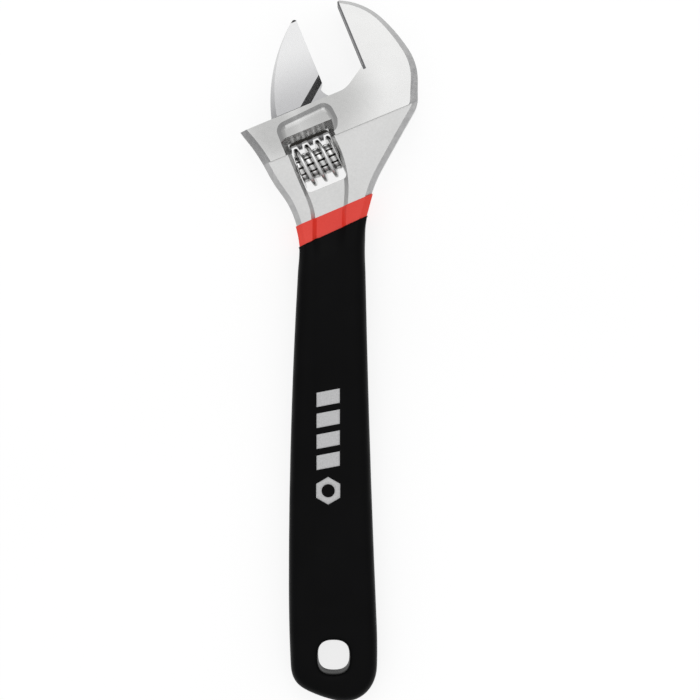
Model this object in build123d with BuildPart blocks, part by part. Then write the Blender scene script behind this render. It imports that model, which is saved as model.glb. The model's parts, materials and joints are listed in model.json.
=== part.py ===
from build123d import *
import os
from math import cos, radians, sin, tan

os.makedirs("parts", exist_ok=True)

# Adjustable wrench, 250 mm size. It lies flat: X across the handle, Y along it
# towards the jaws, Z through the thickness. All lengths are in millimetres.

# ---- driving dimensions -------------------------------------------------
HEAD_TILT = 22.5            # angle of the slide surface to the handle's square
HANDLE_AXIS_X = 1.19        # where the handle's axis crosses the slide surface
SLIDE_Y = 93.2
MID_Z = 8.0                 # middle plane of the wrench, half the boss above its base
BOSS_HALF = 8.0             # half thickness at the rail boss, the thickest place
BOSS_CORNER = 4.5
BOSS_FLANK = 3.0            # how far the boss's flanks lean in
BOSS_ROUND = 3.0

SHANK_HALF = 6.1            # half thickness of the blasted shank
STEP_H = -14.1              # ground jaw plate ends here, below the slide surface
STEP_HALF = 6.9             # half thickness of the jaw plate at the step
JAW_TAPER = 0.035           # loss of half thickness per millimetre towards the tips
BEVEL_START_HALF = 4.3      # half thickness at which the outer edge's bevel starts
BEVEL_SLOPE = 1.12          # how far the bevel comes in for each millimetre above that

FIXED_FACE = 14.4           # gripping face of the fixed jaw
MOVING_FACE = -1.8          # gripping face of the sliding jaw, as it rests
JAW_BEVEL_SLOPE = 1.0       # bevel along the sliding jaw's back
JAW_TIP_H = 31.2
JAW_TIP_ROUND = 0.9
CLOSING_TRAVEL = 16.1       # from the rest position until the jaws almost meet
SLIDE_GAP = 0.12            # sliding clearance under the jaw's shoulder
RELIEF_TOP = 8.75           # where the slanted cut of the jaw's inner corner meets its face
RELIEF_SLANT = 38.8
RELIEF_WIDE = 2.5           # as it is seen from above

RAIL_H = -9.6               # axis of the round rail, below the slide surface
RAIL_R = 4.2
BORE_R = 4.27
RAIL_START = -30.3
RAIL_END = 0.6
BORE_END = 17.2
NECK_HALF = 3.2             # half thickness of the web between jaw and rail
SLOT_HALF = 3.3

PITCH = 4.2                 # of the worm and of the rack
TOOTH_PHASE = -18.05        # centre of one rack tooth
TOOTH_ROOT_H = -11.7
TOOTH_TIP_H = -13.8
GAP_AT_ROOT = 1.9
GAP_AT_TIP = 3.0

WINDOW_LEFT = -21.9
WINDOW_RIGHT = -6.3
WINDOW_TOP = -10.7
WINDOW_BOTTOM = -29.75
WINDOW_CORNER = 1.6
WORM_H = -20.4              # axis of the worm and its pin
WORM_START = -21.6
WORM_END = -6.6
WORM_CREST_R = 7.8
WORM_CORE_R = 5.25
CREST_WIDE = 1.5
CREST_BASE = 2.3
PIN_R = 2.0
PIN_HOLE_R = 2.03
WORM_BORE_R = 2.07
PIN_END = -1.5
PIN_HEAD_R = 3.0
PIN_HEAD_FROM = -30.9
PIN_HEAD_TO = -28.7
PIN_SLOT = 0.9
SPRING_R = 2.75
SPRING_WIRE_R = 0.3
SPRING_LENGTH = 4.5
SPRING_POCKET_R = 3.35
SPRING_POCKET_DEEP = 5.0

POCKET_FLOOR = 4.4          # half thickness left between the two sunken panels
RED_SKIN = 0.4              # thickness of the red dip
GRIP_SKIN = 1.5             # outside of the black grip, above the steel
PANEL_FILL = 1.1            # how much thicker the grip is in the sunken panels
RED_LEFT_Y = 45.6           # where the red dip ends at the handle's left and right edges
RED_RIGHT_Y = 56.4
BLACK_LEFT_Y = 37.6         # where the black grip ends
BLACK_RIGHT_Y = 49.2
HOLE_X = 1.63               # hanging hole, as it is inside the grip
HOLE_Y = -111.0
HOLE_WIDE = 11.5
HOLE_LONG = 12.1
HOLE_CORNER = 4.0

COS = cos(radians(HEAD_TILT))
SIN = sin(radians(HEAD_TILT))
A_AXIS = (COS, SIN, 0)
MID = Plane.XY.offset(MID_Z)
FAR = 60.0                  # longer than any head feature


def head_xy(a, h):
    """Row coordinates of a head point: a along the slide, h out towards the tips."""
    return (HANDLE_AXIS_X + a * COS - h * SIN, SLIDE_Y + a * SIN + h * COS)


def head_plane(z=0.0):
    """The head's own plane, local x along the slide, z above the middle plane."""
    return Plane(origin=(HANDLE_AXIS_X, SLIDE_Y, MID_Z + z), x_dir=A_AXIS, z_dir=(0, 0, 1))


def across_plane(a, h):
    """A plane square to the slide direction, local x through the thickness."""
    x, y = head_xy(a, h)
    return Plane(origin=(x, y, MID_Z), x_dir=(0, 0, 1), z_dir=(-COS, -SIN, 0))


# ---- outlines -------------------------------------------------------------
# The outer edge runs clockwise seen from above, from the fixed jaw's tip down the
# right side, round the handle's end and up to the head's sharp left corner.
JAW_TIP = head_xy(FIXED_FACE, JAW_TIP_H)
HEAD_CORNER = head_xy(-36.2, 0)
# Each run starts where the one before it ends: its first direction, then its points.
OUTER_RUNS = [
    ((1, 0), [(19.3, 121.0), (28.9, 109.7), (32.25, 98.0), (32.25, 91.5)]),
    ((0, -1), [(31.1, 87.2), (19.3, 66.2)]),
    ((-12.95, -23.1), [(14.9, 55.2), (12.9, 48.0), (11.6, 40.0), (11.75, 30.0)]),
    ((0.02, -1), [(15.9, -100.0), (16.0, -115.0)]),
    ((0, -1), [(12.9, -123.0), (3.9, -126.0), (-8.6, -121.6), (-12.5, -115.5)]),
    ((-0.05, 1), [(-13.25, -86.0), (-9.85, 30.0)]),
    ((0, 1), [(-10.6, 40.0), (-13.2, 49.7), (-17.3, 57.0), (-23.1, 66.2), HEAD_CORNER]),
]


def moved(point, way, along, out):
    """A point shifted along a direction and out to the left of it."""
    return (point[0] + way.X * along - way.Y * out, point[1] + way.Y * along + way.X * out)


def outer_arcs():
    """Start, end and first direction of each arc of the outer edge."""
    arcs = []
    start = JAW_TIP
    with BuildLine():
        for first_way, points in OUTER_RUNS:
            way = Vector(*first_way).normalized()
            for end in points:
                arcs.append((start, end, way))
                way = TangentArc(start, end, tangent=way) % 1
                start = end
    arcs.append((start, None, way))
    return arcs


def blank_outline(grow):
    """The whole wrench as a blank, grown by an amount, with the jaw opening filled."""
    arcs = outer_arcs()
    corners = [moved(start, way, 0, grow) for start, _, way in arcs]
    beyond = 14.0
    far_left = moved(HEAD_CORNER, arcs[-1][2], beyond, grow)
    with BuildSketch() as outline:
        with BuildLine():
            for index, (_, _, way) in enumerate(arcs[:-1]):
                TangentArc(corners[index], corners[index + 1], tangent=way)
            Polyline(corners[-1], far_left, (far_left[0], corners[0][1]), corners[0])
        make_face()
    return outline.sketch


def opening_outline():
    """What is cut from the blank to leave the slide surface, throat and fixed jaw."""
    throat_angle = radians(32.0)
    throat_corner = 5.3
    throat_reach = 2.58
    throat_top = (FIXED_FACE - throat_corner) * tan(throat_angle)
    tip_reach = JAW_TIP_ROUND / tan(radians(90 - HEAD_TILT) / 2)
    tip_out = (FIXED_FACE + tip_reach * COS, JAW_TIP_H - tip_reach * SIN)
    with BuildSketch() as outline:
        with BuildLine():
            slide = Line((-FAR, 0), (throat_corner - throat_reach, 0))
            bend = TangentArc(
                slide @ 1,
                (throat_corner + throat_reach * cos(throat_angle), throat_reach * sin(throat_angle)),
                tangent=slide % 1,
            )
            face = Polyline(bend @ 1, (FIXED_FACE, throat_top), (FIXED_FACE, JAW_TIP_H - tip_reach))
            TangentArc(face @ 1, tip_out, tangent=(0, 1))
            Polyline(tip_out, (tip_out[0], FAR), (-FAR, FAR), (-FAR, 0))
        make_face()
    return outline.sketch


def hole_outline(skin):
    """The hanging hole in one layer: it opens as the layers get deeper."""
    grow = 2 * (GRIP_SKIN - skin)
    with BuildSketch() as outline:
        with Locations((HOLE_X, HOLE_Y)):
            RectangleRounded(HOLE_WIDE + grow, HOLE_LONG + grow, HOLE_CORNER + grow / 2)
    return outline.sketch


def pocket_outline(spread):
    """The sunken panel from the window down the handle, spread out from its floor."""
    top_left = head_xy(-22.0 - spread, -10.7 + 0.75 * spread)
    top_right = head_xy(-6.2 + 0.8 * spread, -10.7 + 0.75 * spread)
    left = [top_left] + [(x - spread, y) for x, y in [(-12.2, 68.0), (-7.8, 57.6), (-4.9, 46.0)]]
    right = [(x + spread, y) for x, y in [(5.0, 46.0), (5.6, 60.0), (3.1, 72.4)]] + [top_right]
    end_left = (-6.2 - spread, -88.0)
    end_right = (8.6 + spread, -88.0)
    with BuildSketch() as outline:
        with BuildLine():
            Spline(left, tangents=[(6.0, -12.0), (0.0, -1.0)])
            Line(left[-1], end_left)
            TangentArc(end_left, end_right, tangent=(0, -1))
            Line(end_right, right[0])
            Spline(right, tangents=[(0.0, 1.0), (-3.0, 10.0)])
            Line(top_right, top_left)
        make_face()
    return outline.sketch


def sunken_panels(skin, fill=0.0):
    """The two sloping-sided blocks that sink the panel into a layer's sides."""
    spread = 3.4
    deep = BOSS_HALF + 0.3 - POCKET_FLOOR
    floor = POCKET_FLOOR + skin + fill
    top = POCKET_FLOOR + skin + deep
    with BuildPart() as panels:
        for side in (1, -1):
            with BuildSketch(Plane.XY.offset(MID_Z + side * floor)):
                add(pocket_outline(spread * fill / deep - skin))
            with BuildSketch(Plane.XY.offset(MID_Z + side * top)):
                add(pocket_outline(spread - skin))
            loft()
    return panels.part


def grinding_stock():
    """What grinding takes off: a tapered jaw plate above the step, level shank below."""
    reach = 45.0
    reach_half = STEP_HALF - JAW_TAPER * (reach - STEP_H)
    outside = 2 * BOSS_HALF
    with BuildPart() as stock:
        for side in (1, -1):
            with BuildSketch(across_plane(0, 0)):
                with BuildLine():
                    Polyline(
                        (side * SHANK_HALF, -250),
                        (side * SHANK_HALF, STEP_H),
                        (side * STEP_HALF, STEP_H),
                        (side * reach_half, reach),
                        (side * outside, reach),
                        (side * outside, -250),
                        close=True,
                    )
                make_face()
            extrude(amount=2 * FAR, both=True)
    return stock.part


def bevelled_blank(skin, half):
    """The blank with its outer edge bevelled on both sides, grown by a skin."""
    bevel_start = BEVEL_START_HALF + 0.5 * skin
    inset = (half + skin - bevel_start) * BEVEL_SLOPE
    with BuildPart() as blank:
        with BuildSketch(MID):
            add(blank_outline(skin))
        extrude(amount=bevel_start, both=True)
        for side in (1, -1):
            with BuildSketch(MID.offset(side * bevel_start)):
                add(blank_outline(skin))
            with BuildSketch(MID.offset(side * (half + skin))):
                add(blank_outline(skin - inset))
            loft(ruled=True)
    return blank.part


def rail_boss():
    """The soft raised pad over the rail's bore, on both sides of the head."""
    with BuildSketch(head_plane()) as foot:
        with BuildLine():
            FilletPolyline(
                (-25.3, -14.0), (-24.5, -2.0), (-1.7, -0.7), (-0.6, -9.0), (-2.4, -14.0),
                radius=BOSS_CORNER, close=True,
            )
        make_face()
    with BuildPart() as boss:
        add(foot.sketch)
        extrude(amount=SHANK_HALF)
        with BuildSketch(head_plane(SHANK_HALF)):
            add(foot.sketch_local)
        with BuildSketch(head_plane(BOSS_HALF)):
            add(foot.sketch_local)
            offset(amount=-BOSS_FLANK)
        loft(ruled=True)
        fillet(boss.faces().sort_by(Axis.Z)[-1].edges(), radius=BOSS_ROUND)
        mirror(about=MID)
    return boss.part


def slide_slot():
    """Bore and neck slot that guide the sliding jaw, open at the head's left."""
    with BuildPart() as slot:
        with BuildSketch(across_plane(BORE_END, RAIL_H)):
            Circle(BORE_R)
        extrude(amount=2 * FAR)
        with BuildSketch(head_plane()):
            with BuildLine():
                Polyline(
                    (BORE_END - 2 * FAR, RAIL_H), (BORE_END, RAIL_H), (BORE_END, 1.2),
                    (FIXED_FACE + 0.05, 1.2), (FIXED_FACE + 0.05, FAR), (BORE_END - 2 * FAR, FAR),
                    close=True,
                )
            make_face()
        extrude(amount=SLOT_HALF, both=True)
    return slot.part


def pin_space():
    """Hole for the worm's pin, with a counterbore for its head."""
    with BuildPart() as space:
        with BuildSketch(across_plane(PIN_END + 0.3, WORM_H)):
            Circle(PIN_HOLE_R)
        extrude(amount=FAR)
        with BuildSketch(across_plane(PIN_HEAD_TO, WORM_H)):
            Circle(PIN_HEAD_R + 0.1)
        extrude(amount=FAR)
    return space.part


def window():
    """The worm's window, right through the head."""
    middle_a = (WINDOW_LEFT + WINDOW_RIGHT) / 2
    middle_h = (WINDOW_TOP + WINDOW_BOTTOM) / 2
    with BuildPart() as opening:
        with BuildSketch(head_plane()):
            with Locations((middle_a, middle_h)):
                RectangleRounded(WINDOW_RIGHT - WINDOW_LEFT, WINDOW_TOP - WINDOW_BOTTOM, WINDOW_CORNER)
        extrude(amount=2 * BOSS_HALF, both=True)
    return opening.part


def relief_wedges(shift, gap, side_of_cut):
    """Blocks on one side of the slanted face, for a jaw that has slid by some way."""
    x, y = head_xy(MOVING_FACE + shift, RELIEF_TOP)
    angle = radians(RELIEF_SLANT + HEAD_TILT)
    across = Plane(origin=(x, y, MID_Z), x_dir=(0, 0, 1), z_dir=(cos(angle), sin(angle), 0))
    slide_half = STEP_HALF + JAW_TAPER * STEP_H
    deep = slide_half - NECK_HALF
    far = side_of_cut * FAR
    with BuildPart() as wedges:
        for side in (1, -1):
            low = side * NECK_HALF
            high = side * (NECK_HALF + 2 * deep)
            with BuildSketch(across):
                with BuildLine():
                    Polyline(
                        (low, RELIEF_WIDE + gap), (high, gap - RELIEF_WIDE), (high, far), (low, far),
                        close=True,
                    )
                make_face()
            extrude(amount=FAR, both=True)
    return wedges.part


def slot_mouth():
    """Chamfers of the slot's mouth in the throat, for the closed jaw's slanted corner."""
    clearance = 0.15
    with BuildPart() as mouth:
        add(relief_wedges(CLOSING_TRAVEL, clearance, -1))
        with BuildSketch(head_plane()):
            with Locations((FIXED_FACE / 2, FIXED_FACE / 2)):
                Rectangle(FIXED_FACE, FIXED_FACE)
        extrude(amount=SHANK_HALF, both=True, mode=Mode.INTERSECT)
    return mouth.part


# ---- forged body: fixed jaw, head and shank in one piece of steel ----------
with BuildPart() as forged_body:
    add(bevelled_blank(0, STEP_HALF))
    with BuildSketch(head_plane()):
        add(opening_outline())
    extrude(amount=2 * BOSS_HALF, both=True, mode=Mode.SUBTRACT)
    add(grinding_stock(), mode=Mode.SUBTRACT)
    add(rail_boss())
    add(sunken_panels(0), mode=Mode.SUBTRACT)
    add(window(), mode=Mode.SUBTRACT)
    add(slide_slot(), mode=Mode.SUBTRACT)
    add(slot_mouth(), mode=Mode.SUBTRACT)
    add(pin_space(), mode=Mode.SUBTRACT)
    with BuildSketch(MID):
        add(hole_outline(0))
    extrude(amount=2 * BOSS_HALF, both=True, mode=Mode.SUBTRACT)

forged_body.part.label = "forged_body"
export_step(forged_body.part, "parts/forged_body.step")


# ---- sliding jaw: jaw plate, neck and toothed rail in one piece ------------
def rack_gaps():
    """The gaps between the rack's teeth, along the whole rail."""
    first = TOOTH_PHASE - PITCH / 2 - 3 * PITCH
    below = RAIL_H - RAIL_R - 1.0
    flare = (GAP_AT_TIP - GAP_AT_ROOT) / 2 / (TOOTH_ROOT_H - TOOTH_TIP_H)
    half_root = GAP_AT_ROOT / 2
    half_below = half_root + flare * (TOOTH_ROOT_H - below)
    with BuildPart() as gaps:
        for index in range(9):
            middle = first + index * PITCH
            with BuildSketch(head_plane()):
                with BuildLine():
                    Polyline(
                        (middle - half_root, TOOTH_ROOT_H), (middle + half_root, TOOTH_ROOT_H),
                        (middle + half_below, below), (middle - half_below, below),
                        close=True,
                    )
                make_face()
            extrude(amount=RAIL_R + 1.0, both=True)
    return gaps.part


def jaw_outline(grow):
    """The jaw plate above the slide surface, its back grown, less so towards the tip."""
    heel = (-23.9, SLIDE_GAP)
    tip_start = (-3.4, 30.3)
    tip_end = (MOVING_FACE, 29.4)
    web_top = (-3.2, 3.7)
    web_foot = (-1.0, SLIDE_GAP)
    with BuildLine():
        plain_back = ThreePointArc(heel, (-15.6, 17.6), tip_start)
    middle, end = [
        moved(tuple(plain_back @ t)[:2], plain_back % t, 0, grow * (1 - 0.8 * t)) for t in (0.5, 1)
    ]
    start = (heel[0] - grow / (plain_back % 0).Y, SLIDE_GAP)
    with BuildSketch() as outline:
        with BuildLine():
            ThreePointArc(start, middle, end)
            TangentArc(end, tip_end, tangent=plain_back % 1)
            Polyline(tip_end, (MOVING_FACE, 5.4), web_top)
            ThreePointArc(web_top, (-2.6, 2.0), web_foot)
            Line(web_foot, start)
        make_face()
    return outline.sketch


with BuildPart() as movable_jaw:
    with BuildSketch(head_plane()):
        add(jaw_outline(0))
    extrude(amount=BEVEL_START_HALF, both=True)
    for side in (1, -1):
        with BuildSketch(head_plane(side * BEVEL_START_HALF)):
            add(jaw_outline(0))
        with BuildSketch(head_plane(side * STEP_HALF)):
            add(jaw_outline((BEVEL_START_HALF - STEP_HALF) * JAW_BEVEL_SLOPE))
        loft(ruled=True)
    add(grinding_stock(), mode=Mode.SUBTRACT)
    add(relief_wedges(0, 0, 1), mode=Mode.SUBTRACT)
    with BuildSketch(head_plane()):
        with BuildLine():
            Polyline(
                (-24.4, SLIDE_GAP), (-1.0, SLIDE_GAP), (RAIL_END, -1.1), (RAIL_END, RAIL_H),
                (-24.4, RAIL_H),
                close=True,
            )
        make_face()
    extrude(amount=NECK_HALF, both=True)
    with BuildSketch(across_plane(RAIL_END, RAIL_H)):
        Circle(RAIL_R)
    extrude(amount=RAIL_END - RAIL_START)
    add(rack_gaps(), mode=Mode.SUBTRACT)

movable_jaw.part.label = "movable_jaw"
export_step(movable_jaw.part, "parts/movable_jaw.step")


# ---- adjusting worm ---------------------------------------------------------
def worm_plane(a):
    """A plane square to the worm's axis, looking along the slide direction."""
    x, y = head_xy(a, WORM_H)
    return Plane(origin=(x, y, MID_Z), x_dir=(0, 0, 1), z_dir=A_AXIS)


with BuildPart() as worm_blank:
    length = WORM_END - WORM_START
    root_sink = 0.7
    with BuildLine() as thread_path:
        Helix(PITCH, length + 2 * PITCH, WORM_CORE_R, center=(0, 0, -PITCH))
    with BuildSketch(Plane(thread_path.line @ 0, x_dir=(1, 0, 0), z_dir=thread_path.line % 0)):
        with BuildLine():
            Polyline(
                (-root_sink, -CREST_BASE / 2), (WORM_CREST_R - WORM_CORE_R, -CREST_WIDE / 2),
                (WORM_CREST_R - WORM_CORE_R, CREST_WIDE / 2), (-root_sink, CREST_BASE / 2),
                close=True,
            )
        make_face()
    sweep(path=thread_path.line, is_frenet=True)
    split(bisect_by=Plane.XY, keep=Keep.TOP)
    split(bisect_by=Plane.XY.offset(length), keep=Keep.BOTTOM)
    Cylinder(WORM_CORE_R, length, align=(Align.CENTER, Align.CENTER, Align.MIN))
    Cylinder(WORM_BORE_R, 3 * length, mode=Mode.SUBTRACT)
    with BuildSketch(Plane.XY.offset(length - SPRING_POCKET_DEEP)):
        Circle(SPRING_POCKET_R)
    extrude(amount=SPRING_POCKET_DEEP, mode=Mode.SUBTRACT)

# The blank's thread starts at its own +X, which comes to face +Z. The rack is three
# quarters of a turn further round, and the blank is turned to put a crest in each gap.
rack_angle = 270.0
crest_at_rack = TOOTH_PHASE + PITCH / 2
turn = rack_angle - 360.0 * (crest_at_rack - WORM_START) / PITCH
with BuildPart() as adjusting_worm:
    add((worm_plane(WORM_START).location * Rot(0, 0, turn)) * worm_blank.part)

adjusting_worm.part.label = "adjusting_worm"
export_step(adjusting_worm.part, "parts/adjusting_worm.step")

# ---- pin and spring of the worm ---------------------------------------------
with BuildPart() as worm_pin:
    with BuildSketch(worm_plane(PIN_HEAD_FROM)):
        Circle(PIN_HEAD_R)
    extrude(amount=PIN_HEAD_TO - PIN_HEAD_FROM)
    with BuildSketch(worm_plane(PIN_HEAD_TO)):
        Circle(PIN_R)
    extrude(amount=PIN_END - PIN_HEAD_TO)
    with BuildSketch(worm_plane(PIN_HEAD_FROM)):
        Rectangle(3 * PIN_HEAD_R, PIN_SLOT)
    extrude(amount=PIN_SLOT, mode=Mode.SUBTRACT)

worm_pin.part.label = "worm_pin"
export_step(worm_pin.part, "parts/worm_pin.step")

spring_turns = 3
spring_rise = SPRING_LENGTH / spring_turns
with BuildPart() as spring_coil:
    with BuildLine() as coil_path:
        Helix(spring_rise, SPRING_LENGTH, SPRING_R)
    with BuildSketch(Plane(coil_path.line @ 0, x_dir=(1, 0, 0), z_dir=coil_path.line % 0)):
        Circle(SPRING_WIRE_R)
    sweep(path=coil_path.line, is_frenet=True)

spring_start = WINDOW_RIGHT - SPRING_LENGTH - SPRING_WIRE_R - 0.05
with BuildPart() as worm_spring:
    add(worm_plane(spring_start).location * spring_coil.part)

worm_spring.part.label = "worm_spring"
export_step(worm_spring.part, "parts/worm_spring.step")


# ---- dipped skins of the handle ----------------------------------------------
def skin_blank(skin, fill=0.0):
    """The shank grown by a skin, with its sunken panels, partly filled, and hanging hole."""
    with BuildPart() as blank:
        add(bevelled_blank(skin, SHANK_HALF))
        add(sunken_panels(skin, fill), mode=Mode.SUBTRACT)
        with BuildSketch(MID):
            add(hole_outline(skin))
        extrude(amount=2 * BOSS_HALF, both=True, mode=Mode.SUBTRACT)
    return blank.part


def above_line(left_y, right_y):
    """Everything on the head's side of a slanting line across the shank."""
    left_x = -11.3
    right_x = 14.0
    steep = (right_y - left_y) / (right_x - left_x)
    reach = 2 * FAR
    with BuildPart() as block:
        with BuildSketch(MID):
            with BuildLine():
                Polyline(
                    (-reach, left_y + steep * (-reach - left_x)),
                    (reach, left_y + steep * (reach - left_x)),
                    (reach, 4 * FAR), (-reach, 4 * FAR),
                    close=True,
                )
            make_face()
        extrude(amount=2 * BOSS_HALF, both=True)
    return block.part


with BuildPart() as red_under_dip:
    add(skin_blank(RED_SKIN))
    add(above_line(RED_LEFT_Y, RED_RIGHT_Y), mode=Mode.SUBTRACT)
    add(forged_body.part, mode=Mode.SUBTRACT)

red_under_dip.part.label = "red_under_dip"
export_step(red_under_dip.part, "parts/red_under_dip.step")

with BuildPart() as black_grip:
    add(skin_blank(GRIP_SKIN, PANEL_FILL))
    add(above_line(BLACK_LEFT_Y, BLACK_RIGHT_Y), mode=Mode.SUBTRACT)
    add(skin_blank(RED_SKIN), mode=Mode.SUBTRACT)
    add(forged_body.part, mode=Mode.SUBTRACT)

black_grip.part.label = "black_grip"
export_step(black_grip.part, "parts/black_grip.step")
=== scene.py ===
import json
from math import atan2, cos, hypot, pi, sin

import bmesh
import bpy
import numpy as np
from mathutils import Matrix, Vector
from mathutils.bvhtree import BVHTree


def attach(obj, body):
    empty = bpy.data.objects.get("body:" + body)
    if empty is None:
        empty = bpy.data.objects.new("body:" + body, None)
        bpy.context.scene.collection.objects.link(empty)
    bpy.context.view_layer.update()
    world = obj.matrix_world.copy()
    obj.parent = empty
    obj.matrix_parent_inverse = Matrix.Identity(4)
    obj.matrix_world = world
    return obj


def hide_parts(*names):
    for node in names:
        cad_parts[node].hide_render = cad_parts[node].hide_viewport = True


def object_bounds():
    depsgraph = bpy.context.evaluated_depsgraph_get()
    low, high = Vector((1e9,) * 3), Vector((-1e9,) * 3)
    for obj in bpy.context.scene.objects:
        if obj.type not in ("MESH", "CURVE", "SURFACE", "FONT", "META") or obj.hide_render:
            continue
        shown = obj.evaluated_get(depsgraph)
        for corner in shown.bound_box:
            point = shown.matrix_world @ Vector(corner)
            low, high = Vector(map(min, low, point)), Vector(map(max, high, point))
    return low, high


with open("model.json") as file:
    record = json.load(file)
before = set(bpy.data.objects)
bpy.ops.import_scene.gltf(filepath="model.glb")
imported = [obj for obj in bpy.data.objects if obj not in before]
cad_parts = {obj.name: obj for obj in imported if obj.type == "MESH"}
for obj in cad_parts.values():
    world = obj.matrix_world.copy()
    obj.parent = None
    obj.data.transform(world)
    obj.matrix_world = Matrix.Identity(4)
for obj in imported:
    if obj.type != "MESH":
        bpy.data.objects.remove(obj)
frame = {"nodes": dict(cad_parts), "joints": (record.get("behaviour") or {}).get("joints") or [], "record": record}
cad_low, cad_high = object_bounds()
scene = bpy.context.scene

# ---- what the frame says ----------------------------------------------------
MM = 0.001
joints = {joint["name"]: joint for joint in frame["joints"]}
mounts = {mount["name"]: mount for mount in frame["record"]["mounts"]}
coupling = frame["record"]["behaviour"]["couplings"][0]

UP = Vector((0, 0, 1))
SLIDE_AXIS = Vector(joints["jaw_slide"]["axis"]).normalized()
OUT_AXIS = UP.cross(SLIDE_AXIS)             # out of the head, towards the jaws' tips
WORM_MIDDLE = Vector(joints["worm_spin"]["pos_m"])
PITCH = 2 * pi / abs(coupling["ratio"])
FIXED_FACE = Vector(mounts["fixed_jaw_face"]["pos_m"])
MOVING_FACE = Vector(mounts["moving_jaw_face"]["pos_m"])
MIDDLE_Z = FIXED_FACE.z
SLIDE_BELOW_MOUNTS = 18 * MM                # slide surface, from the mounts on the jaw faces
STEP_BELOW_MOUNTS = 32.1 * MM               # step between the ground and the blasted steel
TEETH_BELOW_MOUNTS = SLIDE_BELOW_MOUNTS + 11.7 * MM     # roots of the rack's teeth
BOSS_MIDDLE = Vector(mounts["boss_underside"]["pos_m"])
# Centres of the painted shade on the steel around the rail boss.
BOSS_RIGHT = BOSS_MIDDLE + SLIDE_AXIS * 10 * MM + OUT_AXIS * 4 * MM + UP * 15 * MM
BOSS_LEFT = BOSS_MIDDLE - SLIDE_AXIS * 12 * MM + OUT_AXIS * 2 * MM + UP * 15 * MM




def tip_of(node, origin):
    """How far a node reaches out of the head, from an origin."""
    return max((vertex.co - origin).dot(OUT_AXIS) for vertex in frame["nodes"][node].data.vertices)


# ---- node helpers -------------------------------------------------------------
class Shader:
    """One material's node tree, with short calls for the nodes used here."""

    def __init__(self, name, **sockets):
        self.material = bpy.data.materials.new(name)
        self.material.use_nodes = True
        self.nodes = self.material.node_tree.nodes
        self.links = self.material.node_tree.links
        self.surface = self.nodes["Principled BSDF"]
        self.place = self.nodes.new("ShaderNodeTexCoord").outputs["Object"]
        for socket, value in sockets.items():
            self.surface.inputs[socket.replace("_", " ")].default_value = value

    def feed(self, socket, value):
        if isinstance(value, bpy.types.NodeSocket):
            self.links.new(value, socket)
        else:
            socket.default_value = value

    def math(self, operation, a, b=0.0, clamp=False):
        node = self.nodes.new("ShaderNodeMath")
        node.operation = operation
        node.use_clamp = clamp
        self.feed(node.inputs[0], a)
        self.feed(node.inputs[1], b)
        return node.outputs[0]

    def vector(self, operation, a, b):
        node = self.nodes.new("ShaderNodeVectorMath")
        node.operation = operation
        self.feed(node.inputs[0], a)
        self.feed(node.inputs[1], b)
        return node.outputs["Value" if operation in ("DOT_PRODUCT", "LENGTH") else "Vector"]

    def along(self, axis, origin=Vector()):
        """Distance of a surface point from an origin, along an axis."""
        from_origin = self.vector("SUBTRACT", self.place, tuple(origin))
        return self.vector("DOT_PRODUCT", from_origin, tuple(axis))

    def stretch(self, across, along, axis):
        """Coordinates for a pattern drawn out along an axis."""
        side = UP.cross(axis)
        node = self.nodes.new("ShaderNodeCombineXYZ")
        self.feed(node.inputs[0], self.math("MULTIPLY", self.along(axis), along))
        self.feed(node.inputs[1], self.math("MULTIPLY", self.along(side), across))
        self.feed(node.inputs[2], self.math("MULTIPLY", self.along(UP), across))
        return node.outputs[0]

    def noise(self, size, detail=3.0, roughness=0.55, where=None):
        """Noise with features of about that size in metres."""
        node = self.nodes.new("ShaderNodeTexNoise")
        self.feed(node.inputs["Vector"], self.place if where is None else where)
        node.inputs["Scale"].default_value = 1 / size
        node.inputs["Detail"].default_value = detail
        node.inputs["Roughness"].default_value = roughness
        return node.outputs["Fac"]

    def span(self, value, low, high, to_low=0.0, to_high=1.0, smooth=False):
        """A value's range mapped onto another, held at its ends."""
        node = self.nodes.new("ShaderNodeMapRange")
        node.interpolation_type = "SMOOTHSTEP" if smooth else "LINEAR"
        self.feed(node.inputs["Value"], value)
        self.feed(node.inputs["From Min"], low)
        self.feed(node.inputs["From Max"], high)
        self.feed(node.inputs["To Min"], to_low)
        self.feed(node.inputs["To Max"], to_high)
        return node.outputs["Result"]

    def mix(self, share, a, b):
        node = self.nodes.new("ShaderNodeMix")
        node.data_type = "RGBA"
        self.feed(node.inputs["Factor"], share)
        self.feed(node.inputs["A"], (*a, 1) if isinstance(a, tuple) else a)
        self.feed(node.inputs["B"], (*b, 1) if isinstance(b, tuple) else b)
        return node.outputs["Result"]

    def set(self, socket, value):
        self.feed(self.surface.inputs[socket], value)

    def bump(self, height, depth, strength=1.0):
        node = self.nodes.new("ShaderNodeBump")
        node.inputs["Strength"].default_value = strength
        node.inputs["Distance"].default_value = depth
        self.feed(node.inputs["Height"], height)
        self.links.new(node.outputs["Normal"], self.surface.inputs["Normal"])


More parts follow.
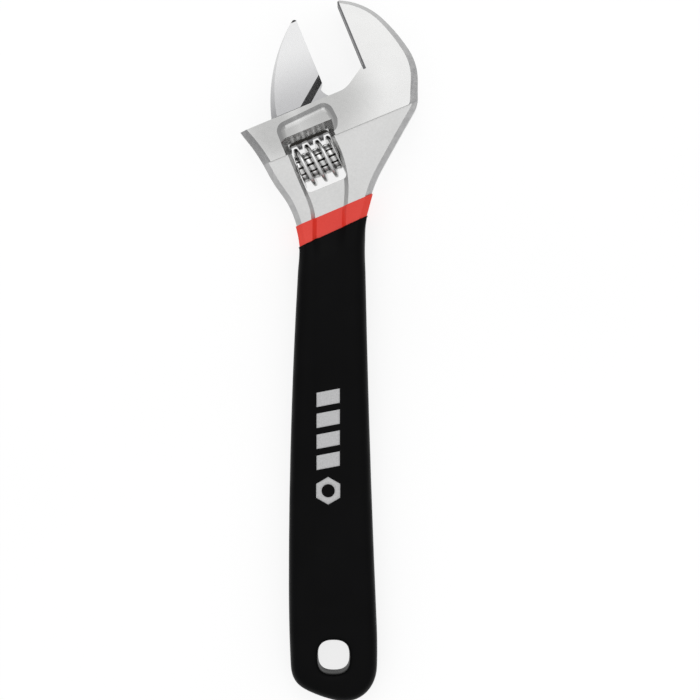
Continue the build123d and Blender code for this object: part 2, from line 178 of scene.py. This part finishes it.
# ---- materials ----------------------------------------------------------------
def satin_steel():
    """Chromed steel: blasted shank and boss, ground jaw plate above the step, with painted shade around the boss
    and a painted dark line along the gripping face.
    """
    right_reach = 24 * MM                   # how far the painted shade spreads from the boss
    left_reach = 17 * MM
    full_shade = 4 * MM
    edge_wide = 0.55 * MM                   # painted shade: a dark line along the gripping face
    bore_depth = (3.5 * MM, 5.0 * MM)       # no grain nearer to the mid-plane than this
    s = Shader("satin_steel", Metallic=1.0)
    out = s.along(OUT_AXIS, FIXED_FACE)
    ground = s.span(out, -STEP_BELOW_MOUNTS - 0.1 * MM, -STEP_BELOW_MOUNTS + 0.1 * MM)
    blasted = s.noise(0.55 * MM, detail=4.0, roughness=0.7)
    mottle = s.noise(1.6 * MM, detail=3.0)
    cloud = s.noise(14 * MM, detail=2.0)
    coarse, broad = s.span(mottle, 0.3, 0.7, -0.05, 0.05), s.span(cloud, 0.3, 0.7, -0.03, 0.03)
    shade = s.math("ADD", coarse, broad)
    grain = s.span(blasted, 0.3, 0.7, -0.06, 0.06)
    shade = s.math("ADD", shade, s.math("MULTIPLY", grain, s.span(ground, 0, 1, 1.0, 0.35)))
    tone = s.math("ADD", shade, 0.5, clamp=True)
    colour = s.mix(tone, (0.42, 0.42, 0.415), (0.92, 0.92, 0.915))
    reach_right = s.vector("LENGTH", s.vector("SUBTRACT", s.place, tuple(BOSS_RIGHT)), (0, 0, 0))
    reach_left = s.vector("LENGTH", s.vector("SUBTRACT", s.place, tuple(BOSS_LEFT)), (0, 0, 0))
    near_right = s.span(reach_right, right_reach, full_shade, smooth=True)
    near_left = s.span(reach_left, left_reach, full_shade, smooth=True)
    # Painted shade: the ground steel painted darker around the rail boss.
    painted_shade = s.math("MULTIPLY", s.math("MAXIMUM", near_right, near_left), ground)
    colour = s.mix(s.math("MULTIPLY", painted_shade, 0.62), colour, (0.3, 0.3, 0.295))
    # Painted shade: a dark line along the fixed gripping face.
    on_face = s.math("LESS_THAN", s.math("ABSOLUTE", s.along(SLIDE_AXIS, FIXED_FACE)), edge_wide)
    above_slide = s.math("GREATER_THAN", out, -SLIDE_BELOW_MOUNTS + 4 * MM)
    painted_face_shade = s.math("MULTIPLY", on_face, above_slide)
    s.set("Base Color", s.mix(painted_face_shade, colour, (0.16, 0.16, 0.165)))
    rough = s.math("ADD", s.span(ground, 0, 1, 0.36, 0.24), s.span(mottle, 0.3, 0.7, -0.04, 0.05))
    s.set("Roughness", s.math("ADD", rough, s.math("MULTIPLY", painted_face_shade, 0.2)))
    depth = s.math("ABSOLUTE", s.along(UP, FIXED_FACE))
    outside = s.span(depth, *bore_depth)
    relief = s.math("MULTIPLY", s.span(ground, 0, 1, 1.0, 0.2), outside)
    s.bump(s.math("MULTIPLY", blasted, relief), 0.04 * MM, 0.35)
    return s.material


def ground_steel():
    """The sliding jaw: satin ground sides and face, with painted shade at its foot, a painted dark tip and a
    painted shadow on the rail.
    """
    clear_above = 4 * MM                    # the painted shade ends here; the sides are bright from here to the tip
    tip_long = 0.9 * MM
    s = Shader("ground_steel", Metallic=1.0)
    out = s.along(OUT_AXIS, MOVING_FACE)
    rail = s.span(out, -SLIDE_BELOW_MOUNTS, -SLIDE_BELOW_MOUNTS - 0.1 * MM)
    lines = s.noise(1.0, detail=3.0, where=s.stretch(2600, 160, OUT_AXIS))
    mottle = s.noise(1.4 * MM, detail=4.0, roughness=0.65)
    coarse, fine = s.span(mottle, 0.3, 0.7, -0.05, 0.05), s.span(lines, 0.3, 0.7, -0.02, 0.02)
    shade = s.math("ADD", coarse, fine)
    tone = s.math("ADD", shade, 0.5, clamp=True)
    colour = s.mix(tone, (0.42, 0.42, 0.425), (0.92, 0.92, 0.92))
    # Painted shade: darker towards the jaw's foot at the slide surface.
    painted_shade = s.span(out, clear_above, -SLIDE_BELOW_MOUNTS, smooth=True)
    colour = s.mix(s.math("MULTIPLY", painted_shade, 0.6), colour, (0.3, 0.3, 0.31))
    # Painted shade: the jaw's tip painted dark over this length.
    tip = tip_of("movable_jaw", MOVING_FACE)
    painted_dark_tip = s.math("GREATER_THAN", out, tip - tip_long)
    colour = s.mix(painted_dark_tip, colour, (0.06, 0.06, 0.06))
    # Painted shadow: the rail's plain strip above its teeth painted dark.
    teeth = s.span(out, -TEETH_BELOW_MOUNTS, -TEETH_BELOW_MOUNTS - 0.5 * MM)
    painted_rail_shadow = s.math("MULTIPLY", rail, s.math("SUBTRACT", 1.0, teeth))
    s.set("Base Color", s.mix(painted_rail_shadow, colour, (0.035, 0.033, 0.03)))
    rough = s.span(mottle, 0.3, 0.7, 0.22, 0.3)
    s.set("Roughness", s.math("ADD", rough, s.math("MULTIPLY", rail, 0.05)))
    s.bump(lines, 0.02 * MM, 0.3)
    return s.material


def worm_steel():
    """Turned and rolled steel, with painted shade in the thread's root and the flutes."""
    dark_within = 4.75 * MM                 # radii between which the painted shade ends
    unshaded_beyond = 5.1 * MM
    s = Shader("worm_steel", Metallic=1.0)
    side = s.along(OUT_AXIS, WORM_MIDDLE)
    high = s.along(UP, WORM_MIDDLE)
    squares = s.math("ADD", s.math("MULTIPLY", side, side), s.math("MULTIPLY", high, high))
    radius = s.math("SQRT", squares)
    lines = s.noise(1.0, detail=2.0, where=s.stretch(300, 5200, SLIDE_AXIS))
    mottle = s.noise(0.9 * MM, detail=3.0)
    # Painted shade: dark in the thread's root and the flutes, below these radii.
    unshaded = s.span(radius, dark_within, unshaded_beyond, smooth=True)
    coarse, fine = s.span(mottle, 0.3, 0.7, 0.42, 0.58), s.span(lines, 0.3, 0.7, -0.06, 0.06)
    tone = s.math("ADD", coarse, fine, clamp=True)
    bright = s.mix(tone, (0.5, 0.5, 0.5), (0.98, 0.98, 0.97))
    s.set("Base Color", s.mix(unshaded, (0.03, 0.028, 0.025), bright))
    s.set("Roughness", s.math("ADD", s.span(unshaded, 0, 1, 0.5, 0.2), s.span(mottle, 0.3, 0.7, -0.03, 0.06)))
    s.bump(lines, 0.02 * MM, 0.4)
    return s.material


def spring_steel():
    """Plain bright steel of the pin and the spring."""
    s = Shader("spring_steel", Metallic=1.0)
    mottle = s.noise(0.8 * MM, detail=4.0)
    s.set("Base Color", s.mix(s.span(mottle, 0.3, 0.7), (0.36, 0.36, 0.36), (0.56, 0.56, 0.55)))
    s.set("Roughness", s.span(mottle, 0.3, 0.7, 0.24, 0.36))
    s.bump(mottle, 0.02 * MM, 0.3)
    return s.material


def vinyl(name, deep, pale, gloss, level):
    """Dipped vinyl, smooth with a soft orange peel and faint flow marks."""
    s = Shader(name, Specular_IOR_Level=level)
    peel = s.noise(1.3 * MM, detail=2.0, roughness=0.4)
    fine = s.noise(0.35 * MM, detail=3.0)
    flow = s.noise(1.0, detail=2.0, where=s.stretch(140, 22, Vector((0, 1, 0))))
    cloud = s.noise(22 * MM, detail=2.0)
    broad, close = s.span(cloud, 0.3, 0.7, 0.1, 0.6), s.span(fine, 0.3, 0.7, 0.0, 0.3)
    tone = s.math("ADD", broad, close, clamp=True)
    s.set("Base Color", s.mix(tone, deep, pale))
    marks = s.span(flow, 0.3, 0.7, gloss - 0.04, gloss + 0.05)
    s.set("Roughness", s.math("ADD", marks, s.span(fine, 0.3, 0.7, -0.03, 0.03)))
    height = s.math("ADD", peel, s.math("MULTIPLY", fine, 0.35))
    s.bump(height, 0.03 * MM, 0.35)
    return s.material


def pale_print():
    """Pad-printed ink, slightly thin in places."""
    s = Shader("pale_print")
    thin = s.noise(0.5 * MM, detail=4.0, roughness=0.7)
    s.set("Base Color", s.mix(s.span(thin, 0.25, 0.6), (0.46, 0.46, 0.465), (0.66, 0.66, 0.665)))
    s.set("Roughness", s.span(thin, 0.3, 0.7, 0.45, 0.6))
    s.bump(thin, 0.01 * MM, 0.3)
    return s.material


def floor_paint():
    """Matt white table, partly lit from within, with a very faint mottle."""
    s = Shader("floor_paint", Specular_IOR_Level=0.1)
    cloud = s.noise(180 * MM, detail=2.0)
    s.set("Base Color", s.mix(s.span(cloud, 0.3, 0.7), (0.25, 0.25, 0.25), (0.27, 0.27, 0.27)))
    s.set("Emission Color", (1, 1, 1, 1))
    s.set("Emission Strength", 0.8)
    s.set("Roughness", s.span(cloud, 0.3, 0.7, 0.75, 0.85))
    return s.material


# ---- mesh helpers ---------------------------------------------------------------
def piece_from(bm, name, material, body=None):
    """A shown object from a bmesh, smooth, riding on a body."""
    bmesh.ops.recalc_face_normals(bm, faces=bm.faces)
    mesh = bpy.data.meshes.new(name)
    bm.to_mesh(mesh)
    bm.free()
    return piece_of(mesh, name, material, body)


def piece_of(mesh, name, material, body=None):
    mesh.materials.clear()
    mesh.materials.append(material)
    for face in mesh.polygons:
        face.use_smooth = True
    piece = bpy.data.objects.new(name, mesh)
    scene.collection.objects.link(piece)
    if body:
        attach(piece, body)
    return piece


def tree_of(*nodes):
    """A search tree over CAD nodes' surfaces."""
    points, faces = [], []
    for node in nodes:
        mesh = frame["nodes"][node].data
        start = len(points)
        points += [vertex.co.copy() for vertex in mesh.vertices]
        faces += [[start + index for index in face.vertices] for face in mesh.polygons]
    return BVHTree.FromPolygons(points, faces)


def smoothstep(value, low, high):
    share = np.clip((value - low) / (high - low), 0, 1)
    return share * share * (3 - 2 * share)


# ---- black grip: one thick dip with soft edges -------------------------------------
def remeshed(node, voxel):
    """A CAD node's closed skin as an even mesh of small squares."""
    bm = bmesh.new()
    bm.from_mesh(frame["nodes"][node].data)
    bmesh.ops.remove_doubles(bm, verts=bm.verts, dist=0.001 * MM)
    mesh = bpy.data.meshes.new(node + "_welded")
    bm.to_mesh(mesh)
    bm.free()
    rough = bpy.data.objects.new(node + "_rough", mesh)
    scene.collection.objects.link(rough)
    remesh = rough.modifiers.new("remesh", "REMESH")
    remesh.mode = "VOXEL"
    remesh.voxel_size = voxel
    graph = bpy.context.evaluated_depsgraph_get()
    even = bpy.data.meshes.new_from_object(rough.evaluated_get(graph))
    bpy.data.objects.remove(rough)
    bpy.data.meshes.remove(mesh)
    return even


def relaxed(points, edges, share, rounds):
    """Points drawn towards the mean of their neighbours, each by its own share."""
    count = len(points)
    degree = np.bincount(edges.ravel(), minlength=count).clip(1)
    for _ in range(rounds):
        total = np.zeros_like(points)
        for column in range(3):
            total[:, column] = np.bincount(edges[:, 0], points[edges[:, 1], column], count)
            total[:, column] += np.bincount(edges[:, 1], points[edges[:, 0], column], count)
        points = points + share[:, None] * (total / degree[:, None] - points)
    return points


def black_grip(material):
    """The grip with its edges drawn soft, thinning out towards its slanting rim."""
    voxel = 0.6 * MM
    skin = 1.1 * MM
    thinnest = 0.4 * MM
    rim_fade = 9 * MM
    rim_share = 0.3
    pull, rounds = 0.5, 34
    last_pull, last_rounds = 0.4, 3
    mesh = remeshed("black_grip", voxel)
    count = len(mesh.vertices)
    points = np.empty(count * 3)
    mesh.vertices.foreach_get("co", points)
    points = points.reshape(-1, 3)
    edges = np.empty(len(mesh.edges) * 2, int)
    mesh.edges.foreach_get("vertices", edges)
    edges = edges.reshape(-1, 2)

    under = tree_of("red_under_dip")
    nearest = [under.find_nearest(Vector(point)) for point in points]
    gap = np.array([found[3] for found in nearest])
    outer = smoothstep(gap, 0.35 * skin, 0.7 * skin)
    points = relaxed(points, edges, pull * outer, rounds)

    left_rim, right_rim = rim_of_black()
    slope = (right_rim.y - left_rim.y) / (right_rim.x - left_rim.x)
    rim_y = left_rim.y + slope * (points[:, 0] - left_rim.x)
    share = rim_share + (1 - rim_share) * smoothstep(rim_y - points[:, 1], 0, rim_fade)
    for index in np.nonzero(outer > 0.02)[0]:
        spot, _, _, distance = under.find_nearest(Vector(points[index]))
        away = points[index] - np.array(spot)
        wanted = distance * (1 - outer[index] * (1 - share[index]))
        if outer[index] > 0.9:
            wanted = max(wanted, thinnest * share[index])
        if distance > 0:
            points[index] = np.array(spot) + away * (wanted / distance)
    points = relaxed(points, edges, last_pull * outer, last_rounds)
    below_rim = rim_y - points[:, 1]
    at_rim = below_rim < 0.8 * voxel
    points[at_rim, 1] = rim_y[at_rim]

    mesh.vertices.foreach_set("co", points.ravel())
    mesh.update()
    grip = piece_of(mesh, "grip_dip", material, "frame")
    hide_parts("black_grip")
    return grip


def rim_of_black():
    """The lowest and the highest end of the black grip's rim, left and right."""
    near_middle = 5.5 * MM
    left_of = -9 * MM
    right_of = 11 * MM
    mesh = frame["nodes"]["black_grip"].data
    top = [vertex.co for vertex in mesh.vertices if abs(vertex.co.z - MIDDLE_Z) < near_middle]
    left = max((co for co in top if co.x < left_of), key=lambda co: co.y - co.x)
    right = max((co for co in top if co.x > right_of), key=lambda co: co.y + co.x)
    return left, right


# ---- printed mark: four bars above a nut outline, with no lettering ------------------
def film(loops, bm, closed):
    """A thin closed film from loops of points; an open one is capped at both ends."""
    rings = [[bm.verts.new(point) for point in loop] for loop in loops]
    pairs = list(zip(rings, rings[1:]))
    if closed:
        pairs.append((rings[-1], rings[0]))
    else:
        bm.faces.new(rings[0])
        bm.faces.new(rings[-1][::-1])
    for ring, following in pairs:
        for index in range(len(ring)):
            after = (index + 1) % len(ring)
            bm.faces.new((ring[index], ring[after], following[after], following[index]))


def printed_mark(grip, material):
    """The mark lies on the grip's surface as a film of ink."""
    middle_x = -0.3 * MM
    half_wide = 4.2 * MM
    top_y = -13.5 * MM
    bar_long = 5.2 * MM
    bar_gap = 2.4 * MM
    lean = 1.6 * MM
    nut_y = -50.6 * MM
    ink = 0.03 * MM
    sunk = 0.05 * MM
    bars = 4
    above = 10 * MM
    surface = BVHTree.FromObject(grip, bpy.context.evaluated_depsgraph_get())

    def on_grip(x, y, lift):
        hit = surface.ray_cast(Vector((x, y, cad_high.z + above)), -UP)[0]
        return Vector((x, y, hit.z + lift))

    def shrunk(outline, centre, share):
        mid_x, mid_y = centre
        return [(mid_x + (x - mid_x) * share, mid_y + (y - mid_y) * share) for x, y in outline]

    bm = bmesh.new()
    per_side = 8
    for bar in range(bars):
        high = top_y - bar * (bar_long + bar_gap)
        low = high - bar_long
        corners = [
            (middle_x - half_wide, high - lean), (middle_x + half_wide, high),
            (middle_x + half_wide, low), (middle_x - half_wide, low - lean),
        ]
        outline = []
        for (x, y), (next_x, next_y) in zip(corners, corners[1:] + corners[:1]):
            for step in range(per_side):
                share = step / per_side
                outline.append((x + (next_x - x) * share, y + (next_y - y) * share))
        centre = (middle_x, (high + low - lean) / 2)
        shares = [0.05, 0.3, 0.55, 0.8, 1.0]
        loops = [[on_grip(x, y, ink) for x, y in shrunk(outline, centre, share)] for share in shares]
        loops += [[on_grip(x, y, -sunk) for x, y in shrunk(outline, centre, share)] for share in shares[::-1]]
        film(loops, bm, closed=False)

    around = 72
    nut_radius = 5.0 * MM
    nut_hole = 2.4 * MM
    loops = []
    for lift, shares in ((ink, (0, 0.5, 1)), (-sunk, (1, 0.5, 0))):
        for share in shares:
            loop = []
            for step in range(around):
                angle = 2 * pi * step / around
                from_flat = (angle + pi / 6) % (pi / 3) - pi / 6
                hexagon = nut_radius * cos(pi / 6) / cos(from_flat)
                radius = nut_hole + (hexagon - nut_hole) * share
                x = middle_x + radius * sin(angle + pi / 2)
                y = nut_y + radius * cos(angle + pi / 2)
                loop.append(on_grip(x, y, lift))
            loops.append(loop)
    film(loops, bm, closed=True)
    return piece_from(bm, "printed_mark", material, "frame")


# ---- worm: rounded thread over a fluted core ------------------------------------------
def worm_frame():
    """The CAD worm's ends along its axis, its bore and its thread's place."""
    mesh = frame["nodes"]["adjusting_worm"].data
    along, radius, angle = [], [], []
    for vertex in mesh.vertices:
        spot = vertex.co - WORM_MIDDLE
        side, high = spot.dot(OUT_AXIS), spot.z
        along.append(spot.dot(SLIDE_AXIS))
        radius.append(hypot(side, high))
        angle.append(atan2(high, side))
    along, radius, angle = np.array(along), np.array(radius), np.array(angle)
    crest = radius > radius.max() - 0.05 * MM
    inside = (along > along.min() + PITCH / 2) & (along < along.max() - PITCH / 2) & crest
    turn = 2 * pi * along[inside] / PITCH - angle[inside]
    phase = atan2(np.sin(turn).mean(), np.cos(turn).mean())
    return along.min(), along.max(), radius.min(), radius.max(), phase * PITCH / (2 * pi)


def adjusting_worm(material):
    start, end, bore, crest, crest_at = worm_frame()
    core = 5.25 * MM
    flutes = 12
    per_flute = 18
    flute_deep = 0.6 * MM
    root_deep = 0.45 * MM
    end_round = 0.6 * MM
    crest_gap = 0.02 * MM
    groove_span = (0.64, 0.92)
    root_span = (1.15 * MM, 1.5 * MM)
    # Half of the thread's section: distance from its middle, height above the core.
    section = [
        (0.0, 1.0), (0.3, 0.992), (0.5, 0.96), (0.66, 0.88),
        (0.78, 0.72), (0.88, 0.42), (1.0, 0.1), (1.12, 0.0),
    ]
    root = [1.35, 1.6, 1.85]
    half_pitch = PITCH / 2
    offsets = [distance * MM for distance, _ in section] + [distance * MM for distance in root]
    offsets = [-offset for offset in offsets[:0:-1]] + offsets + [half_pitch]
    per_turn = len(offsets)
    around = flutes * per_flute
    heights = ([distance * MM for distance, _ in section], [height for _, height in section])
    turns = int((end - start) / PITCH) + 3

    def radius_at(along, angle):
        from_crest = (along - crest_at - PITCH * angle / (2 * pi) + half_pitch) % PITCH - half_pitch
        lift = float(np.interp(abs(from_crest), *heights))
        round_flute = abs((angle * flutes / (2 * pi)) % 1 - 0.5) * 2
        groove = float(smoothstep(round_flute, *groove_span))
        base = core - flute_deep * groove * (1 - lift)
        base -= root_deep * (1 - float(smoothstep(abs(from_crest), *root_span))) * (1 - lift)
        radius = base + (crest - core - crest_gap) * lift
        near_end = min(along - start, end - along)
        limit = crest - end_round + min(near_end, end_round)
        return min(radius, limit)

    def point_at(along, radius, angle):
        across = OUT_AXIS * (radius * cos(angle)) + UP * (radius * sin(angle))
        return WORM_MIDDLE + SLIDE_AXIS * along + across

    bm = bmesh.new()
    columns = per_turn * turns
    grid = []
    for step in range(around):
        angle = 2 * pi * step / around
        column = []
        for index in range(columns):
            turn, place = divmod(index, per_turn)
            turned = angle / (2 * pi) + turn + first_turn(start, crest_at)
            along = crest_at + PITCH * turned + offsets[place]
            along = min(max(along, start), end)
            column.append(bm.verts.new(point_at(along, radius_at(along, angle), angle)))
        inner = [bm.verts.new(point_at(place, bore, angle)) for place in (start, end)]
        grid.append((column, inner))
    for step in range(around):
        column, inner = grid[step]
        following, following_inner = grid[(step + 1) % around]
        # The last column meets the first one a turn further along.
        shift = per_turn if step == around - 1 else 0
        for index in range(columns - 1 - shift):
            ahead = index + shift
            bm.faces.new((column[index], column[index + 1], following[ahead + 1], following[ahead]))
        bm.faces.new((following_inner[0], inner[0], column[0], following[0]))
        bm.faces.new((inner[1], following_inner[1], following[-1], column[-1]))
        bm.faces.new((inner[0], following_inner[0], following_inner[1], inner[1]))
    bmesh.ops.remove_doubles(bm, verts=bm.verts, dist=0.002 * MM)
    bmesh.ops.dissolve_degenerate(bm, edges=bm.edges, dist=0.001 * MM)
    worm = piece_from(bm, "knurled_worm", material, "worm")
    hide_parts("adjusting_worm")
    return worm


def first_turn(start, crest_at):
    """The number of the first turn, counted so that the grid starts before the worm."""
    return int((start - crest_at) // PITCH) - 1


# ---- camera, floor and light ---------------------------------------------------------
def studio():
    view_centre = Vector((7.6 * MM, 0.4 * MM, MIDDLE_Z))
    distance = 0.8
    seen_width = 255.85 * MM
    camera_data = bpy.data.cameras.new("camera")
    camera_data.sensor_width = 36
    camera_data.lens = camera_data.sensor_width * distance / seen_width
    camera = bpy.data.objects.new("camera", camera_data)
    camera.location = view_centre + UP * distance
    scene.collection.objects.link(camera)
    scene.camera = camera

    bm = bmesh.new()
    half = 3.0                              # the table reaches this far each way, in metres
    corners = [(-half, -half), (half, -half), (half, half), (-half, half)]
    bm.faces.new([bm.verts.new((x, y, cad_low.z)) for x, y in corners])
    floor = piece_from(bm, "floor", floor_paint())

    softbox("overhead_box", (0, 0.75, 1.9), 1.1, 0.55)
    softbox("far_box", (-0.2, 1.3, 1.1), 0.8, 1.0)

    world = bpy.data.worlds.new("studio")
    scene.world = world
    world.use_nodes = True
    nodes, links = world.node_tree.nodes, world.node_tree.links
    place = nodes.new("ShaderNodeTexCoord")
    split = nodes.new("ShaderNodeSeparateXYZ")
    ramp = nodes.new("ShaderNodeValToRGB")
    links.new(place.outputs["Generated"], split.inputs[0])
    links.new(split.outputs["Z"], ramp.inputs["Fac"])
    links.new(ramp.outputs["Color"], nodes["Background"].inputs["Color"])
    low, high = ramp.color_ramp.elements
    low.position, low.color = 0.0, (0.36, 0.36, 0.37, 1)
    high.position, high.color = 0.85, (0.8, 0.8, 0.8, 1)
    scene.view_settings.view_transform = "Standard"


def softbox(name, place, size, radiance):
    """A square light of a given radiance, aimed at the middle of the wrench."""
    data = bpy.data.lights.new(name, "AREA")
    data.shape = "SQUARE"
    data.size = size
    data.energy = radiance * pi * size * size
    light = bpy.data.objects.new(name, data)
    light.location = place
    light.rotation_mode = "QUATERNION"
    light.rotation_quaternion = (Vector(place) - Vector((0, 0, MIDDLE_Z))).to_track_quat("Z", "Y")
    scene.collection.objects.link(light)


# ---- making it ------------------------------------------------------------------------
studio()

finishes = {
    "forged_body": satin_steel(),
    "movable_jaw": ground_steel(),
    "worm_pin": spring_steel(),
    "red_under_dip": vinyl("red_vinyl", (0.82, 0.028, 0.014), (0.95, 0.065, 0.04), 0.34, 0.5),
}
finishes["worm_spring"] = finishes["worm_pin"]
for node, material in finishes.items():
    mesh = frame["nodes"][node].data
    mesh.materials.clear()
    mesh.materials.append(material)

grip = black_grip(vinyl("black_vinyl", (0.0022, 0.0022, 0.0024), (0.0045, 0.0045, 0.0048), 0.4, 0.05))
printed_mark(grip, pale_print())
adjusting_worm(worm_steel())
